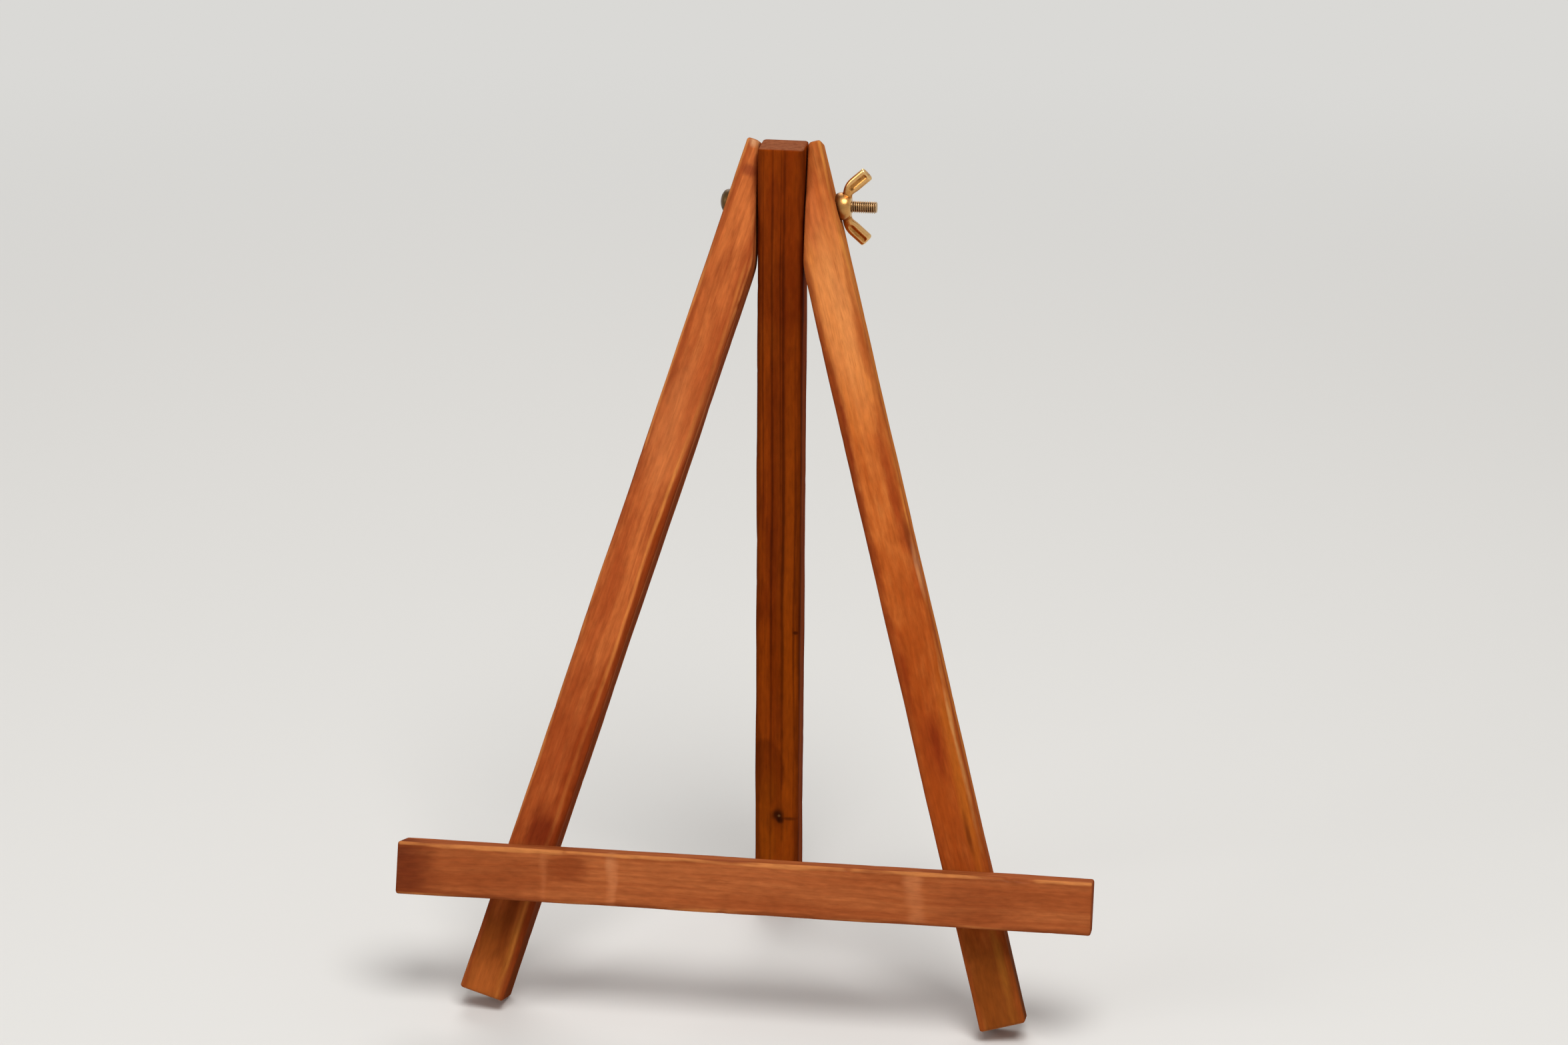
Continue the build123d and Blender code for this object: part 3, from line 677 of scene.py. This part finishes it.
def wing_rings(rows=90, columns=72):
    """Rings of one wing and its neck, mm: out from the bolt, along it, and to the side.

    A rounded section, a superellipse, is carried along a cubic curve that leaves the hub squarely and
    bends outwards. It widens by a smooth step past the neck, and closes at the tip along a quarter
    circle. Both broad faces are sunk along their middle by a bell curve, which leaves two rims.
    """
    share = np.linspace(0, 1, rows)[:, None]
    weights = [(1 - share) ** 3, 3 * (1 - share) ** 2 * share, 3 * (1 - share) * share**2, share**3]
    path = np.concatenate(weights, axis=1) @ np.array(wing_curve)
    run = np.gradient(path, axis=0)
    step = np.linalg.norm(run, axis=1, keepdims=True)
    to_tip = step.sum() - np.cumsum(step)[:, None]
    closing = np.clip(1 - to_tip / tip_easing, 0, 1)
    inset = tip_easing * (1 - np.sqrt(1 - closing**2))
    wide = np.clip((share - widen_from) / widen_over, 0, 1)
    widening = wide**2 * (3 - 2 * wide)
    angle = np.linspace(0, 2 * math.pi, columns, endpoint=False)[None]
    across_wing = (neck_half + (tip_half - neck_half) * widening - inset) * np.sign(np.cos(angle))
    across_wing = across_wing * np.abs(np.cos(angle)) ** section_power
    thick = (wing_thick - inset) * np.sign(np.sin(angle)) * np.abs(np.sin(angle)) ** section_power
    sunk = np.clip((share - panel_from) / panel_over, 0, 1)
    sunk = sunk * np.clip((to_tip - panel_rim) / panel_fade, 0, 1)
    groove = np.exp(-((np.abs(across_wing) / panel_half) ** 2.5)) * sunk * sunk * (3 - 2 * sunk)
    thick = thick * (1 - panel_share * groove)
    rings = path[:, None] + across_wing[..., None] * (run[:, ::-1] / step * [1, -1])[:, None]
    return np.concatenate([rings, thick[..., None]], axis=2)


# The hub is a ball with its base and its top cut flat and eased
ball = np.linspace(0.3, hub_height - 0.5, 24)
ball_radius = np.sqrt(hub_radius**2 - (ball - hub_middle) ** 2)
eased_base = ball_radius[0] - np.array([0.45, 0.15])
eased_top = ball_radius[-1] - np.array([0.3, 0.75])
hub_depths = np.concatenate([[0, 0.08], ball, [hub_height - 0.15, hub_height, hub_height]])
hub_radii = np.concatenate([eased_base, ball_radius, eased_top, [hub_face]])
solids = [turned_rings(nut_seat, across, hub_depths, hub_radii, columns=96)]
for turn in (nut_turn, nut_turn + math.pi):
    out = np.array([0.0, -math.sin(turn), math.cos(turn)])
    solids.append(nut_seat + wing_rings() @ np.array([out, across, np.cross(across, out)]))
wing_nut = ring_solid(*solids, name="wing_nut_brass")
remesh = wing_nut.modifiers.new("cast_in_one", "REMESH")
remesh.mode, remesh.voxel_size = "VOXEL", voxel * MM
soften = wing_nut.modifiers.new("soften", "SMOOTH")
soften.factor, soften.iterations = 0.5, 6
cut(wing_nut, turned_rings(nut_seat, across, bore_ends, [bore] * 2))
wing_nut.data.shade_smooth()
wing_nut.data.set_sharp_from_angle(angle=math.radians(50))
mark_hollows(wing_nut, rounds=60, depth=0.2)
# The first colour is that of the pale ridges: worn metal with a painted highlight
cast_brass = aged_brass(
    "nut_cast_brass", "#E2BC80", "#C88A48", "#54300F",
    roughness=0.24, share=0.2, soil=0.6, grit=0.8, relief=0.3,
)
wing_nut.data.materials.append(cast_brass)
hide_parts("wing_nut")
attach(wing_nut, "wing_nut")

# Ledge
# A plain bar of the same wood, planed, stained and varnished, and worn along its top arris, which also
# carries a painted highlight. It lies across the fronts of the front legs, and is screwed on from
# behind.

ledge_length = 222.0
ledge_height = 17.0
ledge_depth = 15.0
screw_length = 25.0
hole_start = 10.0  # of the screw holes' cutter, from the leg's back
hole_play = 0.05
axes = np.array([frame_up, frame_front, across])
ledge_middle = pivot - ledge_drop * frame_up + (strip + ledge_depth) / 2 * frame_front
origin = ledge_middle - ledge_length / 2 * across


def ledge_sides(along):
    """Sides of the ledge, with its height taken as its width."""
    return -ledge_height / 2, ledge_height / 2, -ledge_depth / 2, ledge_depth / 2


# The worn tone is paler worn wood and a painted highlight on the arrises
ledge_stain = {"light": "#A85C31", "middle": "#9A4E27", "dark": "#7A381A", "deep": "#88411E",
               "worn": "#C47A42", "end": "#7E3C1E"}
ledge_patches = [
    ((-1, 7.5, 1), (16, 10, 10), "#582011", 0.9, 0.6),
    ((0, 7.5, 24), (16, 12, 22), "#86401E", 0.5, 0.8),
    ((2.5, 7.5, 55), (4.5, 6, 6.5), "#7A3315", 0.65, 0.5),
    ((7, 7.5, 46.9), (6, 5, 0.8), "#B86C40", 0.3, 0.8),
    ((0, 7.5, 48.0), (8, 4, 0.7), "#B0643A", 0.25, 0.8),
    ((-6, 7.5, 47.6), (6, 4, 0.7), "#B0643A", 0.2, 0.8),
    ((7, 7.5, 68.8), (6, 5, 1.4), "#C07A4E", 0.6, 0.6),
    ((0, 7.5, 70.2), (8, 4, 1.2), "#BC7044", 0.6, 0.6),
    ((-6, 7.5, 69.4), (6, 4, 1.4), "#B86C40", 0.5, 0.6),
    ((7, 7.5, 165.2), (6, 5, 2.4), "#BC7448", 0.5, 0.7),
    ((0, 7.5, 166.6), (8, 4, 2.2), "#B86C40", 0.5, 0.7),
    ((-6, 7.5, 167.6), (6, 4, 2.2), "#B86C40", 0.5, 0.7),
    ((-1, 7.5, 184), (6, 6, 15), "#803C1C", 0.5, 0.6),
]
ledge = ring_solid(origin + strip_rings(ledge_length, ledge_sides, 34) @ axes, name="ledge_wood")
hole_depths = [hole_start, screw_length + hole_play]
for side in (-1, 1):
    cut(ledge, turned_rings(screw_back(side), frame_front, hole_depths, [screw_hole] * 2))
wood = stained_pine("ledge_stained_pine", origin, axes, ledge_length, ledge_stain, (-30, 9), 34.0,
                    ledge_patches, rings=0.22)
# How much each arris is worn paler and painted with a highlight, at each end and by side
ledge_wear_and_highlight = [((0.6, 0.85), (0.7, 1.3))] * 2
finish_strip(ledge, origin, axes, ledge_length, ledge_sides, ledge_wear_and_highlight, wood)
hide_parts("ledge")
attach(ledge, "front_frame")

# Ledge screws
# Two countersunk wood screws of zinc-plated steel, with a cross recess, driven from behind each front
# leg into the ledge.

screw_radius = 1.5
screw_head = 3.0  # radius
screw_point = 4.0  # length
recess_reach, recess_half, recess_depth = 1.7, 0.38, 1.3
recess_past = 0.5  # how far the recess's cutter starts behind the head
recess_taper = 0.35  # share of its width at its foot
screw_solids, recess_solids = [], []
depths = [0.0, 0.1, screw_head - screw_radius, screw_length - screw_point, screw_length]
radii = [screw_head - 0.1, screw_head - 0.02, screw_radius, screw_radius, 0.02]
corners = [[1, 1], [-1, 1], [-1, -1], [1, -1]] * np.array([recess_reach, recess_half])
for head in (screw_back(-1), screw_back(1)):
    screw_solids.append(turned_rings(head, frame_front, depths, radii))
    for turn in (math.radians(20), math.radians(110)):
        long = math.cos(turn) * across + math.sin(turn) * frame_up
        arms = np.array([long, np.cross(frame_front, long)])
        mouth = head - recess_past * frame_front + corners @ arms
        foot = head + recess_depth * frame_front + (recess_taper * corners) @ arms
        recess_solids.append(np.stack([mouth, foot]))
screws = ring_solid(*screw_solids, name="ledge_screws_steel")
for recess in recess_solids:
    cut(screws, recess)
screws.data.shade_smooth()
screws.data.set_sharp_from_angle(angle=math.radians(30))
mark_hollows(screws, rounds=4, depth=0.2)


def zinc_plated_steel(name):
    """Steel wire headed cold and plated with zinc: a cool grey with faint yellow clouds, a soft sheen,
    and a darker recess."""
    material = bpy.data.materials.new(name)
    material.use_nodes = True
    tree = material.node_tree
    shader = tree.nodes["Principled BSDF"]
    place = add(tree, "TexCoord").outputs["Object"]
    clouds = add(tree, "TexNoise", place, 1 / (1.5 * MM), 4.0, 0.6)  # clouds 1.5 mm wide
    stain = add(tree, "MapRange", clouds, 0.4, 0.7, 0.0, 1.0)
    colour = add(tree, "Mix", stain, linear("#B4B6B8"), linear("#A69F8C"), data_type="RGBA")
    hollow = add(tree, "Attribute", attribute_name="hollow").outputs["Fac"]
    colour = add(tree, "Mix", hollow, colour, linear("#4A453E"), data_type="RGBA")
    tree.links.new(colour.outputs[2], shader.inputs["Base Color"])
    dull = add(tree, "MapRange", stain, 0.0, 1.0, 0.3, 0.45)
    tree.links.new(dull.outputs[0], shader.inputs["Roughness"])
    shader.inputs["Metallic"].default_value = 1.0
    return material


screws.data.materials.append(zinc_plated_steel("zinc_plated_steel"))
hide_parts("ledge_screws")
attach(screws, "front_frame")

# Floor, light and camera
# A plain pale floor that runs into a pale backdrop, soft lamps and the photograph's point of view.

backdrop_colour = linear("#DAD9D6")
floor_mesh = bpy.data.meshes.new("floor")
reach = 8.0
floor_corners = [(-reach, -reach, 0), (reach, -reach, 0), (reach, reach, 0), (-reach, reach, 0)]
floor_mesh.from_pydata(floor_corners, [], [(0, 1, 2, 3)])
floor = bpy.data.objects.new("floor", floor_mesh)
bpy.context.scene.collection.objects.link(floor)
floor_paint = bpy.data.materials.new("pale_floor")
floor_paint.use_nodes = True
tree = floor_paint.node_tree
matt = tree.nodes["Principled BSDF"]
matt.inputs["Base Color"].default_value = linear("#D8D6D2")
matt.inputs["Roughness"].default_value = 0.9


def seen_directly(tree):
    """1 for rays from the camera or by way of metal, which see the backdrop's own colour."""
    ray = add(tree, "LightPath").outputs
    seen = add(tree, "Math", ray["Is Camera Ray"], ray["Is Glossy Ray"], operation="MAXIMUM")
    return add(tree, "Math", seen, ray["Is Transmission Ray"], operation="MAXIMUM")


# The floor turns into the backdrop between 0.6 and 1.6 m from the easel
place = add(tree, "TexCoord").outputs["Object"]
away = add(tree, "VectorMath", place, operation="LENGTH").outputs["Value"]
fade = add(tree, "MapRange", away, 0.6, 1.6, 0.0, 1.0, interpolation_type="SMOOTHSTEP")
fade = add(tree, "Math", fade, seen_directly(tree), operation="MULTIPLY")
faded = add(tree, "MixShader", fade, matt, add(tree, "Emission", backdrop_colour, 1.0))
tree.links.new(faded.outputs[0], tree.nodes["Material Output"].inputs["Surface"])
floor_mesh.materials.append(floor_paint)

target = Vector((0.0, 0.0, 0.13))
for name, place, size, power in (
    ("key_light", (0.4, -1.0, 1.9), 1.2, 35.0),
    ("fill_light", (-1.6, -1.3, 0.9), 1.2, 10.0),
    ("back_light", (-0.3, 1.5, 1.6), 1.2, 14.0),
):
    lamp = bpy.data.lights.new(name, "AREA")
    lamp.shape, lamp.size, lamp.energy = "DISK", size, power
    lamp_object = bpy.data.objects.new(name, lamp)
    lamp_object.location = place
    lamp_object.rotation_euler = (target - Vector(place)).to_track_quat("-Z", "Y").to_euler()
    bpy.context.scene.collection.objects.link(lamp_object)

world = bpy.data.worlds.new("studio")
world.use_nodes = True
tree = world.node_tree
soft_light = tree.nodes["Background"]
soft_light.inputs["Color"].default_value = linear("#E6E6E6")
soft_light.inputs["Strength"].default_value = 0.35
backdrop = add(tree, "Background", backdrop_colour, 1.0)
background = add(tree, "MixShader", seen_directly(tree), soft_light, backdrop)
tree.links.new(background.outputs[0], tree.nodes["World Output"].inputs["Surface"])
bpy.context.scene.world = world

image_width = 2352  # pixels of the photograph
focal_pixels = 6011
eye = Vector((143.5, -1221.7, 543.1)) * MM
yaw, pitch, roll = math.radians(6.45), math.radians(17.57), math.radians(0.99)
view = Vector((-math.sin(yaw) * math.cos(pitch), math.cos(yaw) * math.cos(pitch), -math.sin(pitch)))
level = Vector((math.cos(yaw), math.sin(yaw), 0.0))
upright = level.cross(view)
right = level * math.cos(roll) + upright * math.sin(roll)
top = upright * math.cos(roll) - level * math.sin(roll)
camera_data = bpy.data.cameras.new("camera")
camera_data.sensor_width = 36.0
camera_data.lens = camera_data.sensor_width * focal_pixels / image_width
camera = bpy.data.objects.new("camera", camera_data)
camera.matrix_world = Matrix((right, top, -view)).transposed().to_4x4()
camera.location = eye
bpy.context.scene.collection.objects.link(camera)
bpy.context.scene.camera = camera
bpy.context.scene.view_settings.view_transform = "Standard"
